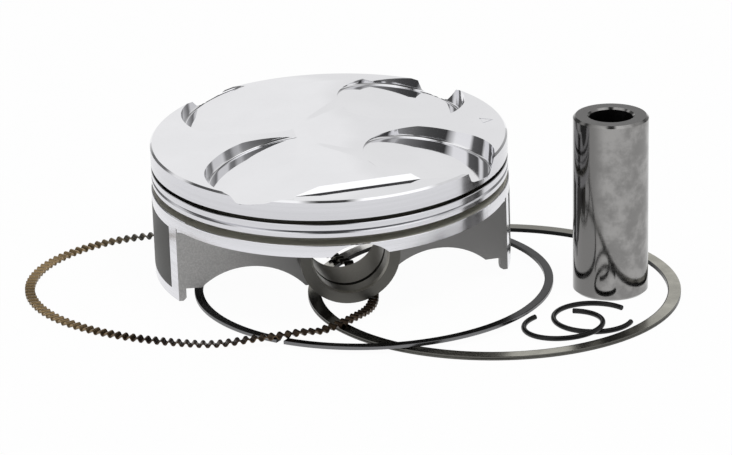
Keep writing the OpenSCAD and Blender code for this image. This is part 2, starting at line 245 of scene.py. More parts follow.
class Shader(Nodes):
    """A material with one Principled surface."""

    def __init__(self, name: str) -> None:
        """Start a material.

        Args:
            name: The material's name.
        """
        self.material = bpy.data.materials.new(name)
        self.material.use_nodes = True
        super().__init__(self.material.node_tree)
        self.surface = self.tree.nodes["Principled BSDF"]
        self.output = self.tree.nodes["Material Output"]

    def place(self, origin: Vector, turn: Euler | None = None, scale: Sequence[float] = (1, 1, 1)) -> Socket:
        """Give object coordinates in a piece's own frame.

        Args:
            origin: The frame's origin in the object's coordinates.
            turn: The rotation that takes the object's axes to the frame's.
            scale: Factors on the frame's axes.

        Returns:
            The output with the coordinates.
        """
        coordinates = self.node("TexCoord")
        centred = self.node("VectorMath", operation="SUBTRACT")
        self.feed(centred, 0, coordinates.outputs["Object"])
        self.feed(centred, 1, tuple(origin))
        turned = self.node("Mapping")
        self.feed(turned, 0, centred.outputs[0])
        if turn is not None:
            self.feed(turned, "Rotation", tuple(turn))
        stretched = self.node("VectorMath", operation="MULTIPLY")
        self.feed(stretched, 0, turned.outputs[0])
        self.feed(stretched, 1, tuple(scale))
        return stretched.outputs[0]

    def mix(self, factor: Socket | float, first: object, second: object) -> Socket:
        """Mix two colours.

        Args:
            factor: How much of the second there is.
            first: The colour at 0, an output or a colour.
            second: The colour at 1.

        Returns:
            The output with the colour.
        """
        made = self.node("Mix", data_type="RGBA")
        colours = [c if isinstance(c, Socket) else (*c, 1.0) for c in (first, second)]
        self.feed(made, "Factor", factor)
        self.feed(made, 6, colours[0])
        self.feed(made, 7, colours[1])
        return made.outputs[2]

    def over(self, length: Socket, band: Band) -> Socket:
        """Return how far, from 0 to 1, a length has come over a band in millimetres."""
        return self.smooth(length, band[0] * MM, band[1] * MM)

    def mottle(
        self, pattern: Socket, colour: Colour, low: float, high: float, band: Band = (0.3, 0.7)
    ) -> Socket:
        """Return a colour that a pattern varies from a low to a high share of it."""
        return self.mix(self.smooth(pattern, *band), shaded(colour, low), shaded(colour, high))

    def vary(self, pattern: Socket, level: float, low: float, high: float, band: Band = (0.3, 0.7)) -> Socket:
        """Return a level that a pattern varies from a low to a high share of it."""
        return self.smooth(pattern, *band, level * low, level * high)

    def bump(self, height: Socket, depth: float, strength: float = 1.0) -> None:
        """Raise the surface by a height pattern.

        Args:
            height: The pattern between 0 and 1.
            depth: Metres that a height of 1 stands for.
            strength: How much of the bump is used.
        """
        made = self.node("Bump")
        self.feed(made, "Strength", strength)
        self.feed(made, "Distance", depth)
        self.feed(made, "Height", height)
        self.feed(self.surface, "Normal", made.outputs[0])

    def finish(self, colour: object, roughness: object, metallic: float = 1.0) -> Material:
        """Set the main inputs of the surface.

        Args:
            colour: The base colour, an output or a colour.
            roughness: The roughness, an output or a number.
            metallic: How much of a metal it is.

        Returns:
            The finished material.
        """
        base = colour if isinstance(colour, Socket) else (*colour, 1.0)
        self.feed(self.surface, "Base Color", base)
        self.feed(self.surface, "Roughness", roughness)
        self.feed(self.surface, "Metallic", metallic)
        return self.material


# ---- The piston's own frame --------------------------------------------------------------------


@dataclass(frozen=True)
class Stance:
    """How the piston stands: turned about its axis, then leaned on the rings under it."""

    turn: float = 9.5
    lean: tuple[float, float] = (2.1, -1.0)

    @property
    def matrix(self) -> Matrix:
        """Rotation from the piston's own axes to the layout."""
        across, along = (math.radians(a) for a in self.lean)
        return (
            Matrix.Rotation(along, 3, "Y")
            @ Matrix.Rotation(across, 3, "X")
            @ Matrix.Rotation(math.radians(self.turn), 3, "Z")
        )

    @property
    def back(self) -> Euler:
        """Rotation from the layout to the piston's own axes."""
        return self.matrix.transposed().to_euler("XYZ")

    def own(self, point: Vector) -> Vector:
        """Return a point of the layout, in metres, in the piston's axes and in millimetres."""
        return self.matrix.transposed() @ point / MM

    def placed(self, point: Vector) -> Vector:
        """Return a point of the piston's axes, in millimetres, in the layout and in metres."""
        return self.matrix @ point * MM


STANCE = Stance()


# ---- Finishes ----------------------------------------------------------------------------------


@dataclass(frozen=True)
class CrownFinish:
    """Diamond-turned crown and valve pockets, almost a mirror."""

    name: str = "crown_polish"
    colour: Colour = (0.84, 0.84, 0.86)
    roughness: float = 0.05

    def material(self) -> Material:
        """Return the finish as a material."""
        s = Shader(self.name)
        own = s.place(Vector(), STANCE.back)
        tint = s.mottle(s.noise(own, 90, 3), self.colour, 0.975, 1.0)
        rough = s.vary(s.noise(own, 260, 2), self.roughness, 0.8, 1.3)
        s.bump(s.noise(own, 1500, 1), 1e-6, 0.4)
        return s.finish(tint, rough)


@dataclass(frozen=True)
class TurnedFinish:
    """Lathe-turned aluminium with fine feed marks round the axis, darker in its upper part."""

    name: str = "turned_aluminium"
    colour: Colour = (0.70, 0.70, 0.73)
    roughness: float = 0.16
    feed_mm: float = 0.12
    depth: float = 1.2e-6
    metallic: float = 1.0
    upper_darkening: Band = (6, 14)

    def material(self) -> Material:
        """Return the finish as a material."""
        s = Shader(self.name)
        feed_marks = s.place(Vector(), STANCE.back, (12, 12, 1 / (self.feed_mm * MM)))
        lines = s.noise(feed_marks, 1.0, 2, 0.7)
        wide = s.noise(s.place(Vector(), STANCE.back, (10, 10, 900)), 1.0, 2)
        _, _, z = s.split(s.place(Vector(), STANCE.back))
        upper = s.over(z, self.upper_darkening)
        fresh = s.mix(upper, shaded(self.colour, 1.08), shaded(self.colour, 0.96))
        worn = s.mix(upper, self.colour, shaded(self.colour, 0.9))
        tint = s.mix(s.smooth(wide, 0.3, 0.7), worn, fresh)
        rough = s.vary(lines, self.roughness, 0.75, 1.4, (0.25, 0.75))
        s.bump(lines, self.depth, 0.5)
        return s.finish(tint, rough, self.metallic)


@dataclass(frozen=True)
class ForgedFinish:
    """Forged, shot-blasted matte grey aluminium, finely speckled; painted shade darkens all but its left end.
    """

    name: str = "forged_aluminium"
    colour: Colour = (0.46, 0.455, 0.45)
    roughness: float = 0.55
    grain_mm: float = 0.35
    # Share of the colour left under the painted shade
    shade: float = 0.52
    painted_darkening: Band = (-32, -12)
    metallic: float = 0.85

    def material(self) -> Material:
        """Return the finish as a material."""
        s = Shader(self.name)
        own = s.place(Vector(), STANCE.back)
        grain = s.noise(own, 1 / (self.grain_mm * MM), 3, 0.6)
        cloud = s.noise(own, 120, 3)
        speck = s.mottle(grain, self.colour, 0.86, 1.1, (0.35, 0.7))
        tint = s.mix(s.smooth(cloud, 0.35, 0.75, 0, 0.25), speck, shaded(self.colour, 0.7))
        x, _, _ = s.split(own)
        # Painted shade: all but the left end of the forging is darkened.
        tint = s.mix(s.over(x, self.painted_darkening), tint, shaded(self.colour, self.shade))
        s.bump(grain, 2.5e-5, 0.5)
        return s.finish(tint, self.roughness, self.metallic)


@dataclass(frozen=True)
class CoatingFinish:
    """Screen-printed dry-film coating, dark grey with a fine pigment grain."""

    name: str = "skirt_coating"
    colour: Colour = (0.042, 0.042, 0.038)
    roughness: float = 0.5

    def material(self) -> Material:
        """Return the finish as a material."""
        s = Shader(self.name)
        own = s.place(Vector(), STANCE.back)
        grain = s.noise(own, 5500, 3, 0.6)
        s.bump(grain, 6e-6, 0.6)
        return s.finish(s.mottle(grain, self.colour, 0.8, 1.25), self.roughness, 0.0)


@dataclass(frozen=True)
class RingFinish:
    """Ring steel with a treated skin, a face of its own colour round its rim and a dark inner wall.

    Painted shade darkens the skin on the near side at the left and on the far side at the right,
    and a painted reflection brightens it on the far side at the left. The bands run over x and y
    from the ring's centre.
    """

    name: str
    centre: tuple[float, float]
    rim_r: float
    bore_r: float
    skin: Colour
    face: Colour
    # Colour of the painted reflection on the far left stretch
    painted_far_reflection: Colour
    wall: Colour = (0.012, 0.012, 0.012)
    # Shares of the skin left under the painted shade, near and far
    painted_near_shade: float = 0.3
    painted_far_shade: float = 0.5
    near_left: tuple[Band, Band] = ((-10, -24), (10, -4))
    far_right: tuple[Band, Band] = ((28, 20), (12, 22))
    far_left: tuple[Band, Band] = ((2, -8), (12, 22))
    edge_tint: float = 0.8
    roughness: float = 0.2

    def material(self) -> Material:
        """Return the finish as a material."""
        s = Shader(self.name)
        centre = Vector((*self.centre, 0)) * MM
        x, y, _ = s.split(s.place(centre))
        radius = s.math("SQRT", s.math("ADD", s.math("MULTIPLY", x, x), s.math("MULTIPLY", y, y)))
        scratch = s.noise(s.place(centre, None, (200, 200, 9000)), 1.0, 3, 0.6)
        tint = s.mottle(scratch, self.skin, 0.85, 1.15)
        # Painted shade on the near left and far right stretches; painted reflection on the far left one.
        for (along, back), colour in (
            (self.near_left, shaded(self.skin, self.painted_near_shade)),
            (self.far_right, shaded(self.skin, self.painted_far_shade)),
            (self.far_left, self.painted_far_reflection),
        ):
            tint = s.mix(s.math("MULTIPLY", s.over(x, along), s.over(y, back)), tint, colour)
        tint = s.mix(s.over(radius, (self.bore_r + 0.25, self.bore_r + 0.1)), tint, self.wall)
        tint = s.mix(s.over(radius, (self.rim_r - 0.1, self.rim_r - 0.02)), tint, self.face)
        s.bump(scratch, 2e-6, 0.4)
        s.feed(s.surface, "Specular Tint", (self.edge_tint, self.edge_tint, self.edge_tint, 1.0))
        return s.finish(tint, self.roughness)


@dataclass(frozen=True)
class StripFinish:
    """Tempered spring steel strip, straw at its left to bronze and grey, with painted shade in its folds."""

    name: str = "expander_strip"
    straw: Colour = (0.33, 0.235, 0.125)
    bronze: Colour = (0.055, 0.038, 0.027)
    grey: Colour = (0.05, 0.052, 0.048)
    roughness: float = 0.32
    straw_to_dark: Band = (-60, -38)
    bronze_to_grey: Band = (-10, 2)
    fold_to_crest: Band = (-11.75, -11.05)
    painted_fold_shade: float = 0.35

    def material(self) -> Material:
        """Return the finish as a material."""
        s = Shader(self.name)
        x, y, z = s.split(s.place(Vector()))
        cloud = s.smooth(s.noise(s.place(Vector()), 350, 3), 0.2, 0.8, -0.2, 0.2)
        fade = s.math("ADD", s.over(x, self.straw_to_dark), cloud, clamp=True)
        dark = s.mix(s.over(y, self.bronze_to_grey), self.bronze, self.grey)
        # Painted shade: the straw part is darker low in its folds.
        straw = s.mix(s.over(z, self.fold_to_crest), shaded(self.straw, self.painted_fold_shade), self.straw)
        s.bump(s.noise(s.place(Vector()), 5000, 2), 2e-6, 0.4)
        return s.finish(s.mix(fade, straw, dark), self.roughness)


@dataclass(frozen=True)
class GroundSteelFinish:
    """Ground, polished dark steel, faint grinding lines round the axis, painted dark reflection at its left.
    """

    centre: tuple[float, float]
    name: str = "pin_steel"
    colour: Colour = (0.29, 0.285, 0.28)
    roughness: float = 0.1
    painted_reflection_share: float = 0.6
    painted_darkening: Band = (-1.2, -4.5)

    def material(self) -> Material:
        """Return the finish as a material."""
        s = Shader(self.name)
        lines = s.noise(s.place(Vector(), None, (40, 40, 7000)), 1.0, 2, 0.6)
        stain = s.noise(s.place(Vector()), 260, 4, 0.6)
        tint = s.mottle(stain, self.colour, 0.74, 1.12, (0.35, 0.65))
        x, _, _ = s.split(s.place(Vector((*self.centre, 0)) * MM))
        # Painted dark reflection on the pin's left part.
        tint = s.mix(s.over(x, self.painted_darkening), tint, shaded(self.colour, self.painted_reflection_share))
        s.bump(lines, 6e-7, 0.5)
        return s.finish(tint, s.vary(lines, self.roughness, 0.8, 1.4))


@dataclass(frozen=True)
class PlainMetalFinish:
    """Metal of one colour with fine grain, for bores, end faces and wire."""

    name: str
    colour: Colour
    roughness: float
    grain_mm: float = 0.12

    def material(self) -> Material:
        """Return the finish as a material."""
        s = Shader(self.name)
        grain = s.noise(s.place(Vector()), 1 / (self.grain_mm * MM), 2)
        s.bump(grain, 2e-6, 0.4)
        tint = s.mottle(grain, self.colour, 0.85, 1.12)
        return s.finish(tint, s.vary(grain, self.roughness, 0.85, 1.2))


# ---- Mesh helpers ------------------------------------------------------------------------------


def deselect_all() -> None:
    """Leave nothing selected and nothing active."""
    bpy.ops.object.select_all(action="DESELECT")
    bpy.context.view_layer.objects.active = None


def activate(piece: Piece) -> None:
    """Select one object alone and make it active."""
    deselect_all()
    piece.select_set(True)
    bpy.context.view_layer.objects.active = piece


def edit_all(operator: Callable[..., object], **settings: object) -> None:
    """Run an edit-mode operator on everything in the active piece.

    Args:
        operator: The operator.
        **settings: The operator's settings.
    """
    bpy.ops.object.mode_set(mode="EDIT")
    bpy.ops.mesh.select_all(action="SELECT")
    operator(**settings)
    bpy.ops.object.mode_set(mode="OBJECT")


def copy_node(node: Piece, name: str) -> Piece:
    """Copy a CAD node into a new piece and merge its loose triangles.

    Args:
        node: The CAD node's object.
        name: The new piece's name.

    Returns:
        The new piece, closed, with no material.
    """
    activate(node)
    bpy.ops.object.duplicate()
    piece = bpy.context.view_layer.objects.active
    piece.name = piece.data.name = name
    piece.parent = None
    piece.data.materials.clear()
    edit_all(bpy.ops.mesh.remove_doubles, threshold=1e-7)
    edit_all(bpy.ops.mesh.customdata_custom_splitnormals_clear)
    return piece


def select_edges(piece: Piece, wanted: Callable[[Edge], bool]) -> int:
    """Select a piece's edges by a test, in edit mode.

    Args:
        piece: The piece, active and in object mode.
        wanted: The test of an edge.

    Returns:
        How many edges are selected. The piece is left in edit mode.
    """
    bpy.ops.object.mode_set(mode="EDIT")
    bpy.ops.mesh.select_mode(type="EDGE")
    bpy.ops.mesh.select_all(action="DESELECT")
    shape = bmesh.from_edit_mesh(piece.data)
    for edge in shape.edges:
        edge.select = wanted(edge)
    count = sum(edge.select for edge in shape.edges)
    shape.select_flush_mode()
    bmesh.update_edit_mesh(piece.data)
    return count


def bevel_edges(piece: Piece, wanted: Callable[[Edge], bool], offset: float, segments: int) -> int:
    """Bevel a piece's edges that pass a test.

    Args:
        piece: The piece, active and in object mode.
        wanted: The test of an edge.
        offset: The bevel's width on each face, in the mesh's units.
        segments: How many faces the bevel has across.

    Returns:
        How many edges were bevelled.
    """
    count = select_edges(piece, wanted)
    bpy.ops.mesh.bevel(offset=offset, offset_type="OFFSET", segments=segments, affect="EDGES")
    bpy.ops.object.mode_set(mode="OBJECT")
    return count


def is_sharp(edge: Edge, degrees: float) -> bool:
    """Tell whether the two faces at an edge turn by more than an angle."""
    return len(edge.link_faces) == 2 and edge.calc_face_angle(0) > math.radians(degrees)


def shade_smooth(piece: Piece, degrees: float) -> None:
    """Smooth a piece's shading except over edges sharper than an angle."""
    activate(piece)
    bpy.ops.object.shade_smooth_by_angle(angle=math.radians(degrees))


def apply_modifier(piece: Piece, kind: str, **settings: object) -> None:
    """Add a modifier to a piece, set it and apply it.

    Args:
        piece: The piece.
        kind: The modifier's type.
        **settings: The modifier's attributes.
    """
    activate(piece)
    modifier = piece.modifiers.new(kind.title(), kind)
    for key, value in settings.items():
        setattr(modifier, key, value)
    bpy.ops.object.modifier_apply(modifier=modifier.name)


def combine(piece: Piece, tool: Piece, operation: str) -> None:
    """Cut a tool's shape out of a piece, or join it on, and delete the tool.

    Args:
        piece: The piece.
        tool: A closed shape.
        operation: DIFFERENCE or UNION.
    """
    apply_modifier(piece, "BOOLEAN", operation=operation, object=tool, solver="EXACT")
    mesh = tool.data
    bpy.data.objects.remove(tool)
    bpy.data.meshes.remove(mesh)


def dress_node(node: Piece, material: Material) -> None:
    """Give a CAD node one material."""
    node.data.materials.clear()
    node.data.materials.append(material)


def dress(piece: Piece, materials: Sequence[Material], zone: Callable[[Face], int]) -> None:
    """Give a piece its materials, each face the one of its zone.

    Args:
        piece: The piece.
        materials: The materials in the order of the zones.
        zone: The zone number of a face.
    """
    piece.data.materials.clear()
    for material in materials:
        piece.data.materials.append(material)
    for face in piece.data.polygons:
        face.material_index = zone(face)


# ---- Piston ------------------------------------------------------------------------------------


class PistonZone(Enum):
    """The kinds of surface on the piston."""

    CROWN = 0
    TURNED = 1
    TOP_GROOVE = 2
    FORGED = 3
    BOSS = 4
    BORE = 5
    OIL_GROOVE = 6
    LEDGE = 7


@dataclass(frozen=True)
class Spot:
    """The middle of a face and the way that it points, in the piston's axes and in millimetres."""

    at: Vector
    out: Vector

    @classmethod
    def of(cls, face: Face) -> "Spot":
        """Return the spot of a face that is given in the layout."""
        return cls(STANCE.own(Vector(face.center)), STANCE.matrix.transposed() @ Vector(face.normal))

    @property
    def radius(self) -> float:
        """Distance from the cylinder axis."""
        return math.hypot(self.at.x, self.at.y)

    @property
    def from_pin(self) -> float:
        """Distance from the pin's axis."""
        return math.hypot(self.at.x, self.at.z)

    @property
    def outward(self) -> float:
        """How far the face points away from the cylinder axis, from -1 to 1."""
        return (self.out.x * self.at.x + self.out.y * self.at.y) / max(self.radius, 1)

    @property
    def faces_pin(self) -> bool:
        """Whether the face points to the pin's axis and isn't square to it."""
        return abs(self.out.y) < 0.8 and self.at.x * self.out.x + self.at.z * self.out.z < 0


@dataclass
class Piston:
    """The forged piston with its printed skirts, in millimetres from the pin's axis.

    The patches that close the third land are given by direction and half angle, in degrees.
    """

    land_r: float = 38.3
    skirt_r: float = 38.45
    groove_r: float = 35.2
    crown_z: float = 18.35
    top_land_z: float = 14.0
    oil_groove_z: float = 8.4
    belt_z: float = 5.75
    skirt_top: float = 6.1
    skirt_half_w: float = 14.5
    skirt_drop: float = 10.6
    foot_x: float = 34.01
    foot_round: float = 0.7
    boss_r: float = 10.7
    boss_inner: float = 10.5
    seat_r: float = 8.66
    corner_r: float = 1.4
    edge_break: float = 0.12
    slack: float = 0.05
    flat: float = 0.9
    upright: float = 0.95
    sharp_deg: float = 60
    patch_sink: float = 0.008
    patch_root: float = 0.7
    skirt_patches: tuple[tuple[float, float], ...] = ((0, 30), (180, 30))
    skirt_patch_cuts: int = 31
    boss_patch: tuple[float, float] = (90, 1.6)
    slot_patch: tuple[float, float] = (44, 6.5)
    dome_z: float = 19.45
    valve_lean: float = 11
    pocket_fillet: float = 0.6
    intake_at: tuple[float, float] = (12.3, 18.2)
    intake_r: float = 16.67
    intake_run_out: float = 7.1
    exhaust_at: tuple[float, float] = (18.2, 16.6)
    exhaust_r: float = 14.02
    exhaust_run_out: float = 5.0
    body: str = "piston"

    def zone(self, face: Face) -> PistonZone:
        """Tell the zone of a face from its place in the piston.

        Args:
            face: The face, with its middle and normal in the layout.

        Returns:
            The zone.
        """
        spot = Spot.of(face)
        z, up, radius = spot.at.z, spot.out.z, spot.radius
        rim = radius > self.land_r - 0.6
        if spot.from_pin < self.seat_r + 0.3 and spot.faces_pin:
            return PistonZone.BORE
        if self.belt_z + 1 < z < self.top_land_z + self.slack and radius > self.groove_r - 0.2:
            if radius < self.groove_r + 0.1 or abs(up) > self.flat:
                return PistonZone.OIL_GROOVE if z < self.oil_groove_z + 2 else PistonZone.TOP_GROOVE
        if z > self.crown_z - 0.5 and 0.5 < up < self.flat and rim:
            return PistonZone.CROWN
        if abs(z - self.skirt_top) < 0.08 and up > self.flat and radius > self.land_r - 4:
            return PistonZone.LEDGE
        if radius > self.land_r - 0.15 and self.belt_z - self.corner_r - 0.1 < z < self.belt_z + 1:
            if spot.outward > self.upright or z > self.belt_z - self.slack:
                return PistonZone.TURNED
        if z > self.belt_z - self.slack:
            if rim and spot.outward > 0.5:
                return PistonZone.TURNED
            if z > self.top_land_z - self.slack and (up > 0.1 or radius < self.land_r):
                return PistonZone.CROWN
        if radius > self.skirt_r - 0.35 and spot.outward > self.upright:
            if abs(spot.at.y) < self.skirt_half_w + 0.1:
                return PistonZone.TURNED
        if spot.from_pin < self.boss_r + 0.2 and self.boss_inner - 0.1 < abs(spot.at.y):
            return PistonZone.BOSS
        return PistonZone.FORGED

    def land_patch(
        self, middle: float, half: float, low: float, high: float, proud: float = 0.0, cuts: int = 7
    ) -> Piece:
        """Make a short stretch of the third land.

        Args:
            middle: Its direction from the cylinder axis, in degrees.
            half: Half its angle, in degrees.
            low: Height of its foot.
            high: Height of its top.
            proud: How far it stands out from the land, falling off towards its ends.
            cuts: How often it is divided.

        Returns:
            The stretch, a closed solid.
        """
        deselect_all()
        bpy.ops.mesh.primitive_cube_add(size=2)
        patch = bpy.context.view_layer.objects.active
        edit_all(bpy.ops.mesh.subdivide, number_cuts=cuts)
        inner, outer = self.groove_r - self.patch_root, self.land_r - self.patch_sink
        for vertex in patch.data.vertices:
            u, v, w = vertex.co
            a = math.radians(middle + half * u)
            reach = outer + proud * min(4 * (1 - abs(u)), 1.0)
            r = inner + (reach - inner) * (v + 1) / 2
            at = Vector((r * math.cos(a), r * math.sin(a), low + (high - low) * (w + 1) / 2))
            vertex.co = STANCE.placed(at)
        return self.outward(patch)

    def corner_fillet(self, side: int, end: int) -> Piece:
        """Make the rounded corner between the third land, a skirt and a side panel.

        Args:
            side: 1 for the exhaust skirt, -1 for the intake skirt.
            end: 1 or -1 for the end of the pin bore.

        Returns:
            The fillet, a closed solid.
        """
        steps = 8
        r = self.corner_r
        edge_x = math.sqrt(self.skirt_r**2 - self.skirt_half_w**2)
        foot, top = self.belt_z - r, self.belt_z + 0.4
        arc = [math.pi / 2 * i / steps for i in range(steps + 1)]
        outline = [(edge_x - r * (1 - math.cos(a)), foot + r * math.sin(a)) for a in arc]
        outline += [(edge_x - r, top), (edge_x, top)]
        deselect_all()
        bpy.ops.mesh.primitive_circle_add(vertices=len(outline), fill_type="NGON")
        fillet = bpy.context.view_layer.objects.active
        edit_all(bpy.ops.mesh.extrude_region_move)
        land = self.land_r - self.patch_sink
        for i, vertex in enumerate(fillet.data.vertices):
            x, z = outline[i % len(outline)]
            y = self.skirt_half_w - 1 if i < len(outline) else math.sqrt(land**2 - x * x)
            vertex.co = STANCE.placed(Vector((side * x, end * y, z)))
        return self.outward(fillet)

    def outward(self, piece: Piece) -> Piece:
        """Turn a closed solid's faces outwards.

        Args:
            piece: The solid.

        Returns:
            The same solid.
        """
        activate(piece)
        edit_all(bpy.ops.mesh.normals_make_consistent, inside=False)
        return piece

    def pocket_cutter(self, at: Vector, r: float, side: int) -> Piece:
        """Make the cutter that finishes one valve pocket.

        Args:
            at: Middle of the pocket's floor.
            r: Radius of the pocket.
            side: 1 on the exhaust side, -1 on the intake side.

        Returns:
            The cutter, a closed solid.
        """
        deselect_all()
        bpy.ops.mesh.primitive_cylinder_add(vertices=192, radius=r, depth=20, location=(0, 0, 10))
        cutter = bpy.context.view_layer.objects.active
        bpy.ops.object.transform_apply(location=True, rotation=False, scale=False)
        bevel_edges(cutter, lambda edge: all(p.co.z < 0.001 for p in edge.verts), self.pocket_fillet, 6)
        lean = Matrix.Rotation(math.radians(side * self.valve_lean), 3, "Y")
        for vertex in cutter.data.vertices:
            vertex.co = STANCE.placed(at + lean @ vertex.co)
        return cutter

    def finish_pockets(self, forging: Piece) -> None:
        """Cut the valve pockets to their finished depth and corners.

        Args:
            forging: The piston's forging.
        """
        slope = math.tan(math.radians(self.valve_lean))
        for (x, y), r, run_out, side in (
            (self.intake_at, self.intake_r, self.intake_run_out, -1),
            (self.exhaust_at, self.exhaust_r, self.exhaust_run_out, 1),
        ):
            floor = self.dome_z - (x - run_out) * slope
            for end in (-1, 1):
                cutter = self.pocket_cutter(Vector((side * x, end * y, floor)), r, side)
                combine(forging, cutter, "DIFFERENCE")

    def finish_belt(self, forging: Piece) -> None:
        """Close the third land, run the skirts into it and round the panels' upper corners.

        Args:
            forging: The piston's forging.
        """
        top = self.oil_groove_z - 0.005
        proud = self.skirt_r - self.land_r
        for middle, half in self.skirt_patches:
            low = self.skirt_top - 0.01
            combine(forging, self.land_patch(middle, half, low, top, proud, self.skirt_patch_cuts), "UNION")
        for end in (-1, 1):
            for (middle, half), low in ((self.boss_patch, top - 0.2), (self.slot_patch, self.belt_z + 0.05)):
                combine(forging, self.land_patch(middle * end, half, low, top), "UNION")
            for side in (-1, 1):
                combine(forging, self.corner_fillet(side, end), "UNION")

    def is_foot_edge(self, edge: Edge) -> bool:
        """Tell whether an edge is the inner corner of a foot of the skirts."""
        return is_sharp(edge, self.sharp_deg) and all(
            abs(abs(p.x) - self.foot_x) < self.slack and abs(p.z + self.skirt_drop) < self.slack
            for p in (STANCE.own(vertex.co) for vertex in edge.verts)
        )

    def is_land_edge(self, edge: Edge) -> bool:
        """Tell whether an edge is one of the sharp rims of the ring lands.

        Args:
            edge: The edge.

        Returns:
            Whether it is sharp and level and lies on the lands' outer surface.
        """
        if not is_sharp(edge, self.sharp_deg):
            return False
        ends = [STANCE.own(vertex.co) for vertex in edge.verts]
        level = abs(ends[0].z - ends[1].z) < 0.01
        low, high = self.land_r - 0.02, self.skirt_r + 0.02
        return level and all(low < math.hypot(p.x, p.y) < high and p.z > self.belt_z + 2 for p in ends)

    def build(self, frame: dict) -> None:
        """Finish the forging and dress it and the coatings.

        Args:
            frame: The loaded frame.
        """
        forging = copy_node(frame["nodes"]["piston"], "piston_forging")
        self.finish_pockets(forging)
        self.finish_belt(forging)
        activate(forging)
        LOG.info("rounded %d foot edges", bevel_edges(forging, self.is_foot_edge, self.foot_round * MM, 4))
        LOG.info("broke %d land edges", bevel_edges(forging, self.is_land_edge, self.edge_break * MM, 1))
        shade_smooth(forging, 26)
        finishes = [
            CrownFinish().material(),
            TurnedFinish().material(),
            # Darker copy of the turned finish in the top groove: painted shade.
            TurnedFinish("top_groove_painted_shade", (0.33, 0.325, 0.30), 0.3).material(),
            ForgedFinish().material(),
            # Dark copy of the forged finish on the bosses: painted shade.
            ForgedFinish("boss_aluminium_painted_shade", (0.115, 0.112, 0.102), 0.42, shade=1.0).material(),
            PlainMetalFinish("bore_aluminium", (0.31, 0.30, 0.275), 0.36, 0.3).material(),
            # Paler, less metallic copy of the turned finish in the oil groove: painted light.
            TurnedFinish("oil_groove_painted_light", (0.50, 0.49, 0.44), 0.35, metallic=0.25).material(),
            # Pale matte copy of the turned finish on the skirts' ledge: painted light that hides its shaded
            # line.
            TurnedFinish("skirt_ledge_painted_light", (0.72, 0.72, 0.74), 0.6, metallic=0.0).material(),
        ]
        dress(forging, finishes, lambda face: self.zone(face).value)
        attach(forging, self.body)
        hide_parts("piston")
        coating = CoatingFinish().material()
        for side in ("left", "right"):
            dress_node(frame["nodes"][f"skirt_coating_{side}"], coating)


# ---- Rings -------------------------------------------------------------------------------------


@dataclass(frozen=True)
class RingLayout:
    """Where the rings lie, in millimetres from the piston's pin axis and from the surface."""

    gap: float = 0.05
    ring_at: Vector = Vector((8.9, -13.7))
    ring_r: float = 38.35
    ring_width: float = 1.85
    ring_h: float = 0.77
    ring_rise: float = -9.7
    rails_at: Vector = Vector((34.5, -17.0))
    rail_r: float = 39.7
    rail_width: float = 2.75
    rail_stack: float = 0.85
    clearance: float = 0.01

    def along_ring(self, p: Vector) -> float:
        """Return how far a point is up the tilted compression ring."""
        rise = math.radians(self.ring_rise)
        return self.ring_r + (p - self.ring_at).dot(Vector((math.cos(rise), math.sin(rise))))

    @property
    def ring_slope(self) -> float:
        """Slope of the compression ring, which lies on the surface and across the rails."""
        seats = []
        for r in (self.ring_r, self.ring_r - self.ring_width):
            away = self.rails_at - self.ring_at
            d = away.length
            a = (r * r - self.rail_r**2 + d * d) / (2 * d)
            e = away / d
            off = math.sqrt(r * r - a * a) * Vector((-e.y, e.x))
            seats += [self.along_ring(self.ring_at + a * e + side * off) for side in (-1, 1)]
        return (self.rail_stack + self.gap) / min(seats)

    def ring_top(self, p: Vector) -> float:
        """Return the height of the compression ring's top at a point."""
        return self.gap + self.ring_h + self.along_ring(p) * self.ring_slope + self.clearance


